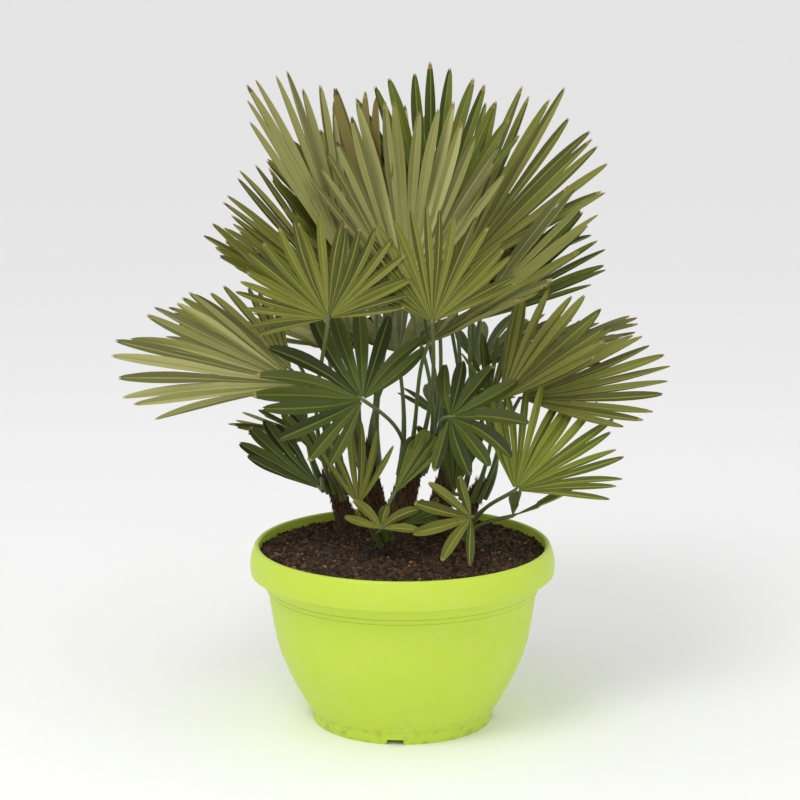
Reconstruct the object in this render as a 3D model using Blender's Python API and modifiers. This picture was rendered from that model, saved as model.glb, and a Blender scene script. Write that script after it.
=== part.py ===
# European fan palm, a clump of several stems, in a round plastic bowl pot.
# Metres, +Z up. The origin is the centre of the pot's flat underside, and the
# view of the plant that shows best is from -Y.
import math
import random
from collections import namedtuple
from itertools import product

import bmesh
import bpy
from mathutils import Matrix, Vector
from mathutils.bvhtree import BVHTree

# Pot: a turned bowl with a rolled collar, two moulded lines and a foot ring
POT_HEIGHT = 0.176
POT_SIDES = 40
LIP_INNER_RADIUS = 0.1395
UPPER_WALL = (0.1388, 0.1600)
COLLAR_RADIUS = 0.1486
FOOT_RADIUS = 0.0885
FOOT_HEIGHT = 0.013
BASE_UNDERSIDE = 0.006
BASE_FLOOR = 0.0095
BOSS_RADIUS = 0.020
DRAIN_RADIUS = 0.005
DRAIN_RING = 0.055
DRAINS = 6
NOTCHES = 4
NOTCH_WIDTH = 0.018
NOTCH_HEIGHT = 0.005
NOTCH_TURN = math.radians(-94.5)
SLOT_SIZE = (0.006, 0.012, 0.021)
SLOT_MIDDLE = 0.109

# Soil: fills the pot, a little lower at the wall than round the stems
SOIL_EDGE = 0.1675
SOIL_CROWN = 0.0035
SOIL_RADIUS = 0.139
SOIL_STEPS = 3
CLEARANCE = 0.0003

# Stems: (foot x, foot y, top x, top y, top z, foot radius, top radius)
Stem = namedtuple("Stem", "foot_x foot_y top_x top_y top_z foot_radius top_radius")
STEMS = {
    "stem_main": Stem(-0.006, 0.040, 0.016, 0.048, 0.262, 0.0175, 0.0085),
    "stem_left": Stem(-0.054, 0.068, -0.074, 0.058, 0.232, 0.0120, 0.0070),
    "stem_right": Stem(0.056, 0.040, 0.078, 0.032, 0.228, 0.0120, 0.0070),
    "stem_back_left": Stem(-0.026, 0.104, -0.042, 0.118, 0.250, 0.0135, 0.0075),
    "stem_back_right": Stem(0.036, 0.104, 0.056, 0.120, 0.250, 0.0135, 0.0075),
    "sucker_front": Stem(-0.015, -0.014, -0.020, -0.024, 0.192, 0.0055, 0.0038),
    "sucker_right": Stem(0.052, 0.000, 0.060, -0.010, 0.200, 0.0060, 0.0040),
}
STEM_SIDES = 10
STEM_SHARES = (0.0, 0.35, 0.6, 0.8, 1.0)
BEND = 1.3
FLARE = 0.28
FLARE_LENGTH = 0.010
UPRIGHT = 0.004
STEM_GAP = 0.0006

# Fronds: the stem, the hub where petiole and blade meet, which way the middle
# of the blade aims and its upper side faces, each as yaw and pitch, then the
# reach of its longest leaflet, how many leaflets, the angle they spread over,
# how far they are joined from the hub, and how much the blade cups and sags
Frond = namedtuple("Frond", "stem hub aim face reach leaflets spread joined cup sag")
VIEWER = (-90, 15)
FRONT_FRONDS = [
    # The two fans in front of the crown
    Frond("stem_left", (-0.068, -0.085, 0.410), (115, 66), (-90, 30), 0.104, 22, 200, 0.34, 0.14, 0.02),
    Frond("stem_main", (0.027, -0.095, 0.408), (95, 66), (-95, 26), 0.116, 19, 150, 0.34, 0.14, 0.02),
    # The fans that reach furthest left and right
    Frond("stem_left", (-0.097, -0.030, 0.338), (184, 16), (-80, 35), 0.188, 11, 60, 0.42, 0.05, 0.06),
    Frond("stem_left", (-0.108, 0.030, 0.341), (160, 30), (-60, 45), 0.136, 13, 95, 0.36, 0.05, 0.04),
    Frond("stem_right", (0.113, 0.000, 0.319), (4, 14), (-100, 50), 0.152, 13, 90, 0.38, 0.06, -0.03),
    Frond("stem_right", (0.093, -0.030, 0.323), (30, 44), (-105, 30), 0.138, 9, 70, 0.36, 0.04, 0.02),
    Frond("sucker_right", (0.106, -0.060, 0.242), (35, 42), (-100, 28), 0.122, 17, 125, 0.36, 0.06, -0.03),
    Frond("stem_main", (0.025, -0.075, 0.384), (12, 28), (170, 70), 0.142, 13, 120, 0.40, 0.05, 0.03),
    # The tall fronds along the top
    Frond("stem_main", (0.005, 0.000, 0.415), (92, 80), VIEWER, 0.205, 16, 82, 0.40, 0.03, 0.02),
    Frond("stem_main", (0.027, 0.060, 0.460), (88, 84), VIEWER, 0.185, 13, 80, 0.40, 0.03, 0.02),
    Frond("stem_left", (-0.049, -0.005, 0.440), (150, 65), (-38, 20), 0.224, 9, 48, 0.40, 0.02, 0.00),
    Frond("stem_main", (-0.024, 0.030, 0.440), (120, 74), (-150, 10), 0.182, 9, 80, 0.40, 0.03, 0.00),
    Frond("stem_back_left", (-0.057, 0.070, 0.404), (158, 50), (-85, 30), 0.172, 11, 50, 0.38, 0.04, 0.02),
    Frond("stem_back_right", (0.052, 0.060, 0.431), (40, 47), (-95, 20), 0.236, 14, 60, 0.40, 0.03, 0.02),
    Frond("stem_right", (0.066, 0.010, 0.388), (26, 50), (-140, 25), 0.182, 10, 70, 0.38, 0.05, 0.02),
    Frond("stem_back_right", (0.077, 0.080, 0.383), (22, 37), (-100, 30), 0.164, 11, 56, 0.38, 0.04, 0.02),
    # The low fronds in front
    Frond("stem_main", (-0.037, -0.070, 0.331), (165, 35), (-85, 40), 0.112, 13, 225, 0.30, 0.04, 0.04),
    Frond("stem_main", (0.044, -0.065, 0.314), (-10, 6), (-100, 40), 0.078, 9, 230, 0.30, 0.04, 0.08),
    Frond("stem_left", (-0.078, -0.030, 0.236), (160, 35), (-60, 30), 0.104, 5, 50, 0.50, 0.03, 0.02),
    Frond("stem_left", (-0.070, -0.010, 0.250), (135, 66), (-70, 25), 0.090, 5, 60, 0.45, 0.03, 0.02),
    Frond("stem_right", (0.085, 0.020, 0.313), (95, 70), VIEWER, 0.072, 7, 60, 0.30, 0.03, 0.02),
    Frond("stem_main", (-0.006, 0.008, 0.236), (96, 80), VIEWER, 0.108, 6, 56, 0.50, 0.03, 0.02),
    Frond("stem_right", (0.050, 0.012, 0.222), (84, 76), VIEWER, 0.098, 6, 60, 0.50, 0.03, 0.02),
    Frond("sucker_front", (-0.042, -0.050, 0.225), (95, 72), VIEWER, 0.086, 6, 80, 0.24, 0.03, 0.02),
    Frond("sucker_front", (-0.009, -0.055, 0.236), (50, 42), VIEWER, 0.080, 4, 34, 0.82, 0.02, 0.00),
    Frond("sucker_front", (-0.002, -0.040, 0.203), (20, 20), (-90, 50), 0.050, 4, 50, 0.70, 0.02, 0.00),
    Frond("sucker_front", (-0.020, -0.060, 0.207), (80, 50), (-90, 30), 0.046, 5, 200, 0.24, 0.04, 0.05),
    Frond("sucker_right", (0.065, -0.060, 0.216), (190, 0), (-90, 40), 0.062, 6, 190, 0.24, 0.04, 0.12),
    Frond("sucker_right", (0.106, -0.045, 0.207), (20, 18), (200, 72), 0.102, 11, 220, 0.30, 0.05, 0.03),
]

# Fronds that these hide, round the sides and the back: rings of them, each
# turned by the golden angle
Ring = namedtuple("Ring", "count height distance pitch reach")
RINGS = [
    Ring(3, 0.270, 0.080, 14, 0.104),
    Ring(6, 0.330, 0.112, 20, 0.138),
    Ring(6, 0.388, 0.080, 40, 0.150),
    Ring(4, 0.430, 0.040, 62, 0.180),
]
GOLDEN_ANGLE = 137.508
FIRST_TURN = 216.0
BACK_SHARE = 0.56
CROWN_MIDDLE = (0.000, 0.085)
BACK_STEMS = ("stem_back_left", "stem_back_right", "stem_left", "stem_right")
BACK_LEAFLETS = 12
BACK_SPREAD = 125
BACK_JOINED = 0.38

# How a blade and its petiole are shaped
BLADE_THICKNESS = 0.0018
SHORTER_AT_SIDES = 0.28
LENGTH_VARIES = 0.10
RING_VARIES = 0.10
LIFT_VARIES = 0.09
SWAY = 0.35
WIDEST_AT = 0.82
WIDENING = 1.25
SHORT_WIDEST_AT = 0.5
NO_WIDER = 0.92
PETIOLE_RADIUS = (0.0030, 0.0021)
PETIOLE_POINTS = 5
PETIOLE_SIDES = 4
PETIOLE_SUNK = 0.006
LEAVE_REACH = 0.38
LEAVE_LEAN = 0.12
ARRIVE_REACH = 0.30
ARRIVE_STRAIGHT = 0.75
SEED = 7

# How neighbours are kept apart: the room that is left round each piece, and
# what is tried in turn where a place is taken
ROOM = 0.0006
DEPTHS = (0.0, 0.008, -0.008, 0.016, -0.016, 0.026, -0.026)
ROOT_TURNS = (0, 28, -28, 56, -56, 84, -84, 120, -120, 160)
ROOT_HEIGHTS = (0.70, 0.82, 0.58, 0.92, 0.46, 0.34)
ROOT_REACHES = (0.72, 0.85, 1.0)
LIFTS = (0.0, 0.06, -0.06, 0.12, -0.12, 0.20, -0.20)
SHORTER = (1.0, 0.86, 0.72, 0.58)

LIME = (0.545, 0.733, 0.072)
EARTH = (0.045, 0.028, 0.018)
SHEATH = (0.120, 0.055, 0.022)
OLIVE = (0.190, 0.240, 0.080)


def clear_scene():
    for thing in list(bpy.data.objects):
        bpy.data.objects.remove(thing)


def make_material(name, colour, roughness):
    material = bpy.data.materials.new(name)
    material.use_nodes = True
    shader = material.node_tree.nodes["Principled BSDF"]
    shader.inputs["Base Color"].default_value = (*colour, 1.0)
    shader.inputs["Roughness"].default_value = roughness
    shader.inputs["Metallic"].default_value = 0.0
    return material


def make_object(name, mesh, collection, colour=None, roughness=0.6):
    thing = bpy.data.objects.new(name, mesh)
    collection.objects.link(thing)
    if colour:
        mesh.materials.clear()
        mesh.materials.append(make_material(name, colour, roughness))
    return thing


def mesh_from(name, corners, faces):
    mesh = bpy.data.meshes.new(name)
    mesh.from_pydata([tuple(c) for c in corners], [], faces)
    mesh.update()
    return mesh


def make_cutter(name, mesh, collection):
    cutter = make_object(name, mesh, collection)
    cutter.hide_render = True
    cutter.display_type = "WIRE"
    return cutter


def turned(name, outline, collection, colour, roughness):
    # A profile at +X, down its outer side, turned about Z
    corners = [(radius, 0.0, height) for radius, height in outline]
    edges = [(i, i + 1) for i in range(len(corners) - 1)]
    mesh = bpy.data.meshes.new(name)
    mesh.from_pydata(corners, edges, [])
    thing = make_object(name, mesh, collection, colour, roughness)
    screw = thing.modifiers.new("Turned", "SCREW")
    screw.steps = POT_SIDES
    screw.render_steps = POT_SIDES
    screw.use_merge_vertices = True
    screw.merge_threshold = 0.00001
    screw.use_smooth_shade = True
    return thing


def evaluated_mesh(thing):
    # A new mesh of the object with its modifiers applied
    graph = bpy.context.evaluated_depsgraph_get()
    return bpy.data.meshes.new_from_object(thing.evaluated_get(graph))


def tube(points, radii, sides):
    # A closed mesh of a round bar through points, from a curve with caps
    curve = bpy.data.curves.new("tube", "CURVE")
    curve.dimensions = "3D"
    curve.bevel_depth = 1.0
    curve.bevel_resolution = (sides - 4) // 2
    curve.use_fill_caps = True
    spline = curve.splines.new("POLY")
    spline.points.add(len(points) - 1)
    for knot, point, radius in zip(spline.points, points, radii):
        knot.co = (*point, 1.0)
        knot.radius = radius
    guide = bpy.data.objects.new("tube", curve)
    bpy.context.scene.collection.objects.link(guide)
    mesh = evaluated_mesh(guide)
    bpy.data.objects.remove(guide)
    bpy.data.curves.remove(curve)
    shape = bmesh.new()
    shape.from_mesh(mesh)
    bmesh.ops.remove_doubles(shape, verts=shape.verts, dist=0.00001)
    shape.to_mesh(mesh)
    shape.free()
    return mesh


def slab(corners, faces, thickness):
    # A closed mesh of an open sheet of faces given a thickness
    sheet = bpy.data.objects.new("sheet", mesh_from("sheet", corners, faces))
    bpy.context.scene.collection.objects.link(sheet)
    solidify = sheet.modifiers.new("Thickness", "SOLIDIFY")
    solidify.thickness = thickness
    solidify.offset = 0.0
    mesh = evaluated_mesh(sheet)
    bpy.data.meshes.remove(sheet.data)
    return mesh


def through(points, steps):
    # A smooth curve through a few points of an outline
    ends = [points[0], *points, points[-1]]
    curve = []
    for a, b, c, d in zip(ends, ends[1:], ends[2:], ends[3:]):
        for k in range(steps):
            t = k / steps
            curve.append(
                tuple(
                    0.5 * (2 * q + (r - p) * t + (2 * p - 5 * q + 4 * r - s) * t**2
                           + (3 * q - p - 3 * r + s) * t**3)
                    for p, q, r, s in zip(a, b, c, d)
                )
            )
    return [*curve, tuple(points[-1])]


def pot_outline():
    bowl = [(0.1305, 0.1265), (0.1275, 0.1050), (0.1214, 0.0750), (0.1093, 0.0450)]
    body = through(bowl + [(0.0935, FOOT_HEIGHT + 0.003)], 2)
    cove = through([(0.1470, 0.1485), (0.1395, 0.1455), (0.1350, 0.1385)], 2)
    collar = through(
        [(0.1445, POT_HEIGHT - 0.0015), (0.1475, 0.1655), (COLLAR_RADIUS, 0.1570), (0.1482, 0.1500)],
        1,
    )
    line = 0.0006
    lines = [(0.1343, 0.1370), (0.1343 - line, 0.1368), (0.1329, 0.1322), (0.1329 - line, 0.1320)]
    lip = [(LIP_INNER_RADIUS, POT_HEIGHT - 0.0020), (0.1412, POT_HEIGHT), (0.1430, POT_HEIGHT)]
    foot = [(0.0915, FOOT_HEIGHT), (0.0903, FOOT_HEIGHT - 0.001), (FOOT_RADIUS, 0.0)]
    under = [
        (FOOT_RADIUS - 0.006, 0.0),
        (FOOT_RADIUS - 0.008, BASE_UNDERSIDE),
        (BOSS_RADIUS + 0.002, BASE_UNDERSIDE),
        (BOSS_RADIUS, 0.0),
        (0.0, 0.0),
    ]
    return inner_wall(0.0) + lip + collar + cove + lines + body + foot + under


def inner_wall(gap):
    # The inside of the pot from the middle of its floor up to the lip,
    # or with a gap the side of what fills it
    side = through(
        [(0.0905, BASE_FLOOR + 0.009), (0.1063, 0.0460), (0.1184, 0.0760), (0.1270, 0.1260)],
        1,
    )
    wall = [(0.0, BASE_FLOOR), (0.0800, BASE_FLOOR), *side, (0.1325, 0.1430), UPPER_WALL]
    return [(max(radius - gap, 0.0), height + gap) for radius, height in wall]


def drain_cutter(index, collection):
    turn = 2 * math.pi * index / DRAINS
    mesh = bpy.data.meshes.new("drain")
    shape = bmesh.new()
    bmesh.ops.create_cone(
        shape, cap_ends=True, segments=12, radius1=DRAIN_RADIUS, radius2=DRAIN_RADIUS, depth=0.03
    )
    shape.to_mesh(mesh)
    shape.free()
    cutter = make_cutter(f"cut_drain_{index + 1}", mesh, collection)
    cutter.location = (DRAIN_RING * math.cos(turn), DRAIN_RING * math.sin(turn), BASE_FLOOR)
    return cutter


def notch_cutter(index, collection):
    # A wedge that is wider at the bottom, through the foot ring
    half, top = NOTCH_WIDTH / 2, NOTCH_WIDTH / 2 - 0.0015
    inner, outer = FOOT_RADIUS - 0.012, FOOT_RADIUS + 0.012
    low, high = -0.003, NOTCH_HEIGHT
    corners = []
    for x in (inner, outer):
        corners += [(x, -half, low), (x, half, low), (x, top, high), (x, -top, high)]
    faces = [(3, 2, 1, 0), (4, 5, 6, 7), (0, 1, 5, 4), (1, 2, 6, 5), (2, 3, 7, 6), (3, 0, 4, 7)]
    cutter = make_cutter(f"cut_notch_{index + 1}", mesh_from("notch", corners, faces), collection)
    cutter.rotation_euler.z = NOTCH_TURN + 2 * math.pi * index / NOTCHES
    return cutter


def slot_cutter(collection):
    mesh = bpy.data.meshes.new("slot")
    shape = bmesh.new()
    bmesh.ops.create_cube(shape, size=1.0, matrix=Matrix.Diagonal((*SLOT_SIZE, 1.0)))
    shape.to_mesh(mesh)
    shape.free()
    cutter = make_cutter("cut_slot", mesh, collection)
    cutter.location = (0.1292, SLOT_SIZE[1] / 2 + 0.004, SLOT_MIDDLE)
    return cutter


def make_pot(plant, cutters):
    pot = turned("pot", pot_outline(), plant, LIME, 0.45)
    tools = [drain_cutter(i, cutters) for i in range(DRAINS)]
    tools += [notch_cutter(i, cutters) for i in range(NOTCHES)]
    tools.append(slot_cutter(cutters))
    for tool in tools:
        cut = pot.modifiers.new(tool.name, "BOOLEAN")
        cut.operation = "DIFFERENCE"
        cut.object = tool
    return pot


def make_soil(plant):
    side = [point for point in inner_wall(CLEARANCE) if point[1] < SOIL_EDGE]
    low, high = UPPER_WALL, (LIP_INNER_RADIUS, POT_HEIGHT - 0.002)
    share = (SOIL_EDGE - low[1]) / (high[1] - low[1])
    edge = low[0] + share * (high[0] - low[0]) - CLEARANCE
    inward = [k / SOIL_STEPS for k in range(SOIL_STEPS + 1)]
    dome = [(edge * (1 - t), SOIL_EDGE + SOIL_CROWN * math.sin(math.pi / 2 * t)) for t in inward]
    return turned("soil", (side + dome)[::-1], plant, EARTH, 0.95)


def stem_line(stem, share):
    # The middle of a stem from its foot, 0, to its top, 1: it leaves the soil
    # upright and leans out more as it rises
    foot = Vector((stem.foot_x, stem.foot_y, soil_height(stem.foot_x, stem.foot_y)))
    top = Vector((stem.top_x, stem.top_y, stem.top_z))
    return foot + (top - foot) * Vector((share**BEND, share**BEND, share))


def stem_radius(stem, share):
    height = (stem.top_z - SOIL_EDGE) * share
    flare = 1 + FLARE * math.exp(-height / FLARE_LENGTH)
    return (stem.foot_radius + (stem.top_radius - stem.foot_radius) * share) * flare


def soil_height(x, y):
    across = min(math.hypot(x, y) / SOIL_RADIUS, 1.0)
    return SOIL_EDGE + SOIL_CROWN * math.cos(math.pi / 2 * across) + STEM_GAP


def stem_shape(stem):
    # Its first stretch is upright, so that its foot is level
    points = [stem_line(stem, share) for share in STEM_SHARES]
    radii = [stem_radius(stem, share) for share in STEM_SHARES]
    points.insert(1, points[0] + Vector((0, 0, UPRIGHT)))
    radii.insert(1, stem_radius(stem, UPRIGHT / (stem.top_z - SOIL_EDGE)))
    return tube(points, radii, STEM_SIDES)


def direction(yaw, pitch):
    yaw, pitch = math.radians(yaw), math.radians(pitch)
    return Vector((math.cos(yaw) * math.cos(pitch), math.sin(yaw) * math.cos(pitch), math.sin(pitch)))


def blade_frame(frond):
    aim, face = direction(*frond.aim), direction(*frond.face)
    face = (face - aim * face.dot(aim)).normalized()
    return aim, face.cross(aim), face


class Blade:
    # Where each leaflet of one frond runs, as a rule of angle and distance
    def __init__(self, frond, number):
        self.frond = frond
        self.hub = Vector(frond.hub)
        self.aim, self.side, self.face = blade_frame(frond)
        self.step = math.radians(frond.spread) / frond.leaflets
        draw = random.Random(SEED * 1000 + number)
        self.rings = [
            frond.joined * frond.reach * self.shorter(k - 0.5) * (1 + RING_VARIES * draw.uniform(-1, 1))
            for k in range(frond.leaflets + 1)
        ]
        self.lengths = [
            frond.reach * self.shorter(k) * (1 - LENGTH_VARIES * draw.random())
            for k in range(frond.leaflets)
        ]
        self.sways = [SWAY * self.step * draw.uniform(-1, 1) for k in range(frond.leaflets)]
        self.lifts = [LIFT_VARIES * draw.uniform(-1, 1) for k in range(frond.leaflets)]

    def angle(self, k):
        return (k - (self.frond.leaflets - 1) / 2) * self.step

    def shorter(self, k):
        share = self.angle(k) / max(math.radians(self.frond.spread) / 2, 1e-6)
        return 1 - SHORTER_AT_SIDES * share * share

    def place(self, angle, distance, lift=0.0, start=0.0):
        # A point of the blade, bent up by its cup and down by its weight
        frond = self.frond
        way = self.aim * math.cos(angle) + self.side * math.sin(angle)
        way += self.face * frond.cup * (1 - math.cos(angle)) * 2
        share = distance / frond.reach
        point = self.hub + way.normalized() * distance
        point += self.face * lift * max(distance - start, 0.0)
        point.z -= frond.sag * frond.reach * share**2.2
        return point

    def valley(self, k):
        return self.place(self.angle(k - 0.5), self.rings[k])

    def spine(self, k, distance, lift):
        start = (self.rings[k] + self.rings[k + 1]) / 2
        length = self.lengths[k]
        sway = self.sways[k] * max(distance - start, 0.0) / (length - start)
        return self.place(self.angle(k) + sway, distance, lift + self.lifts[k], start)

    def widest(self, k, length, lift):
        # The two edges where the leaflet is widest
        outer = max(self.rings[k], self.rings[k + 1])
        distance = max(length * WIDEST_AT, outer + (length - outer) * SHORT_WIDEST_AT)
        middle = self.spine(k, distance, lift)
        along = (self.spine(k, distance * 1.02, lift) - middle).normalized()
        across = self.face.cross(along).normalized()
        wide = min((self.rings[k] + self.rings[k + 1]) / 2 * WIDENING, distance * NO_WIDER)
        half = wide * math.sin(self.step / 2)
        return middle - across * half, middle + across * half


def palm_sheet(blade):
    # The joined middle of a blade: triangles from the hub to its valleys
    corners = [blade.hub] + [blade.valley(k) for k in range(blade.frond.leaflets + 1)]
    return corners, [(0, k + 1, k + 2) for k in range(blade.frond.leaflets)]


def leaflet_sheet(blade, k, length, lift):
    left, right = blade.widest(k, length, lift)
    tip = blade.spine(k, length, lift)
    corners = [blade.valley(k), blade.valley(k + 1), right, left, tip]
    return corners, [(0, 3, 2, 1), (3, 4, 2)]


class Room:
    # What is placed already, and whether a new shape would touch it
    def __init__(self):
        self.corners = []
        self.faces = []
        self.tree = None

    def add(self, mesh):
        count = len(self.corners)
        self.corners += [v.co.copy() for v in mesh.vertices]
        self.faces += [tuple(i + count for i in face.vertices) for face in mesh.polygons]

    def settle(self):
        self.tree = BVHTree.FromPolygons(self.corners, self.faces)

    def free(self, mesh):
        corners = [v.co for v in mesh.vertices]
        shape = BVHTree.FromPolygons(corners, [tuple(face.vertices) for face in mesh.polygons])
        bpy.data.meshes.remove(mesh)
        return not self.tree.overlap(shape)


def petiole_path(stem, blade, root, count):
    # From beside the stem up and out to the hub, and a little into the blade
    root_share, root_turn, root_reach = root
    middle = stem_line(stem, root_share)
    out = (blade.hub - middle) * Vector((1, 1, 0))
    out.normalize()
    out.rotate(Matrix.Rotation(math.radians(root_turn), 3, "Z"))
    beside = stem_radius(stem, root_share) + PETIOLE_RADIUS[0] * root_reach + CLEARANCE
    root = middle + out * beside
    span = (blade.hub - root).length
    rise = (stem_line(stem, root_share + 0.05) - stem_line(stem, root_share - 0.05)).normalized()
    leave = root + (rise + out * LEAVE_LEAN) * span * LEAVE_REACH
    straight = (blade.hub - leave).normalized()
    way = straight * ARRIVE_STRAIGHT + blade.aim * (1 - ARRIVE_STRAIGHT)
    arrive = blade.hub - way.normalized() * span * ARRIVE_REACH
    points = []
    for j in range(count):
        t = j / (count - 1)
        points.append(
            root * (1 - t) ** 3
            + leave * 3 * t * (1 - t) ** 2
            + arrive * 3 * t * t * (1 - t)
            + blade.hub * t**3
        )
    points[-1] = blade.hub + blade.aim * PETIOLE_SUNK
    return points


def petiole_radii(count, more=0.0):
    low, high = PETIOLE_RADIUS
    return [low + (high - low) * j / (count - 1) + more for j in range(count)]


def seat_frond(frond, number, room):
    # The first way of placing petiole and blade that touches nothing
    stem = STEMS[frond.stem]
    for depth in DEPTHS:
        x, y, z = frond.hub
        moved = frond._replace(hub=(x, y + depth, z))
        blade = Blade(moved, number)
        if not room.free(slab(*palm_sheet(blade), BLADE_THICKNESS + 2 * ROOM)):
            continue
        for root in product(ROOT_HEIGHTS, ROOT_TURNS, ROOT_REACHES):
            path = petiole_path(stem, blade, root, PETIOLE_POINTS)
            radii = petiole_radii(PETIOLE_POINTS, ROOM)
            radii[0] = PETIOLE_RADIUS[0] + CLEARANCE
            if room.free(tube(path, radii, PETIOLE_SIDES)):
                return blade, path
    return None


def leaflet_choices(blade, room):
    # For each leaflet its length and lift, or nothing where no place is free
    choices = []
    for k in range(blade.frond.leaflets):
        found = None
        for shorter in SHORTER:
            for lift in LIFTS:
                sheet = leaflet_sheet(blade, k, blade.lengths[k] * shorter, lift)
                if room.free(slab(*sheet, BLADE_THICKNESS + 2 * ROOM)):
                    found = (blade.lengths[k] * shorter, lift)
                    break
            if found:
                break
        choices.append(found)
    return choices


def blade_sheet(blade, choices):
    # The whole blade as one open sheet, cut in between its leaflets
    corners, faces = palm_sheet(blade)
    for k, choice in enumerate(choices):
        if choice:
            left, right = blade.widest(k, *choice)
            count = len(corners)
            corners += [left, right, blade.spine(k, *choice)]
            faces.append((k + 1, count, count + 1, k + 2))
            faces.append((count, count + 2, count + 1))
    return corners, faces


def fused(name, blade, petiole, plant):
    # One solid of a blade and its petiole, by a union on a collection
    parts = bpy.data.collections.new(f"{name}_parts")
    bpy.context.scene.collection.children.link(parts)
    make_object(f"{name}_petiole", petiole, parts)
    frond = make_object(name, blade, plant)
    union = frond.modifiers.new("Fused", "BOOLEAN")
    union.operation = "UNION"
    union.operand_type = "COLLECTION"
    union.collection = parts
    union.solver = "MANIFOLD"
    mesh = evaluated_mesh(frond)
    mesh.materials.clear()
    mesh.materials.append(make_material(name, OLIVE, 0.6))
    frond.modifiers.clear()
    frond.data = mesh
    for piece in list(parts.objects):
        bpy.data.objects.remove(piece)
    bpy.data.collections.remove(parts)


def ring_fronds():
    fronds = []
    turn = FIRST_TURN
    for ring in RINGS:
        for k in range(ring.count):
            turn += GOLDEN_ANGLE
            yaw = 90 + ((turn % 360) - 180) * BACK_SHARE
            way = Vector((math.cos(math.radians(yaw)), math.sin(math.radians(yaw))))
            hub = (
                round(CROWN_MIDDLE[0] + ring.distance * way.x, 4),
                round(CROWN_MIDDLE[1] + ring.distance * way.y, 4),
                ring.height + 0.012 * (k % 3 - 1),
            )
            stems = sorted(BACK_STEMS, key=lambda s: math.dist((STEMS[s].top_x, STEMS[s].top_y), hub[:2]))
            fronds.append(
                Frond(
                    stems[0], hub, (yaw, ring.pitch), (yaw + 180, 90 - ring.pitch), ring.reach,
                    BACK_LEAFLETS, BACK_SPREAD, BACK_JOINED, 0.05, 0.04,
                )
            )
    return fronds


def make_fronds(plant, room):
    for number, frond in enumerate(FRONT_FRONDS + ring_fronds(), 1):
        room.settle()
        seat = seat_frond(frond, number, room)
        if not seat:
            continue
        blade, path = seat
        choices = leaflet_choices(blade, room)
        sheet = slab(*blade_sheet(blade, choices), BLADE_THICKNESS)
        petiole = tube(path, petiole_radii(PETIOLE_POINTS), PETIOLE_SIDES)
        room.add(sheet)
        room.add(petiole)
        fused(f"frond_{number:02d}", sheet, petiole, plant)


def main():
    clear_scene()
    plant = bpy.data.collections.new("potted_fan_palm")
    cutters = bpy.data.collections.new("cutters")
    bpy.context.scene.collection.children.link(plant)
    bpy.context.scene.collection.children.link(cutters)
    room = Room()
    make_pot(plant, cutters)
    make_soil(plant)
    for name in ("pot", "soil"):
        mesh = evaluated_mesh(plant.objects[name])
        room.add(mesh)
        bpy.data.meshes.remove(mesh)
    for name, stem in STEMS.items():
        shape = stem_shape(stem)
        room.add(shape)
        make_object(name, shape, plant, SHEATH, 0.9)
    make_fronds(plant, room)


main()
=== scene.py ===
# A clump of European fan palm in a lime-green bowl pot, dressed over its frame
import math
import random
from collections import namedtuple
from itertools import product

import bmesh
import bpy
from mathutils import Matrix, Vector, noise
from mathutils.kdtree import KDTree


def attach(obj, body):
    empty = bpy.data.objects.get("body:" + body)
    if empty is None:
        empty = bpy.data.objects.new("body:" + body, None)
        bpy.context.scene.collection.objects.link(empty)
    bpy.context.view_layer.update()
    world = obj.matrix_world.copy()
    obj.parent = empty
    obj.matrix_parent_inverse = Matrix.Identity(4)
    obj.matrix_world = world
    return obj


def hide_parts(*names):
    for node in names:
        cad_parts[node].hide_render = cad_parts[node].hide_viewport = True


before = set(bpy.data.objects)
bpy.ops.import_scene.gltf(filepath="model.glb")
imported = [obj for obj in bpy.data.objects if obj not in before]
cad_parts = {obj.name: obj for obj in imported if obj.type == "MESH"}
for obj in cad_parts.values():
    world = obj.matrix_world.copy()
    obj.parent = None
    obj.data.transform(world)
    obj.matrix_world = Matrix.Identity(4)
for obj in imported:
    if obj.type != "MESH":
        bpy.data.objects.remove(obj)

# The plant's plan, as in its solids: where each stem stands
Stem = namedtuple("Stem", "footX footY topX topY topZ footRadius topRadius")
stems = {
    "stem_main": Stem(-0.006, 0.040, 0.016, 0.048, 0.262, 0.0175, 0.0085),
    "stem_left": Stem(-0.054, 0.068, -0.074, 0.058, 0.232, 0.0120, 0.0070),
    "stem_right": Stem(0.056, 0.040, 0.078, 0.032, 0.228, 0.0120, 0.0070),
    "stem_back_left": Stem(-0.026, 0.104, -0.042, 0.118, 0.250, 0.0135, 0.0075),
    "stem_back_right": Stem(0.036, 0.104, 0.056, 0.120, 0.250, 0.0135, 0.0075),
    "sucker_front": Stem(-0.015, -0.014, -0.020, -0.024, 0.192, 0.0055, 0.0038),
    "sucker_right": Stem(0.052, 0.000, 0.060, -0.010, 0.200, 0.0060, 0.0040),
}

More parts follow.
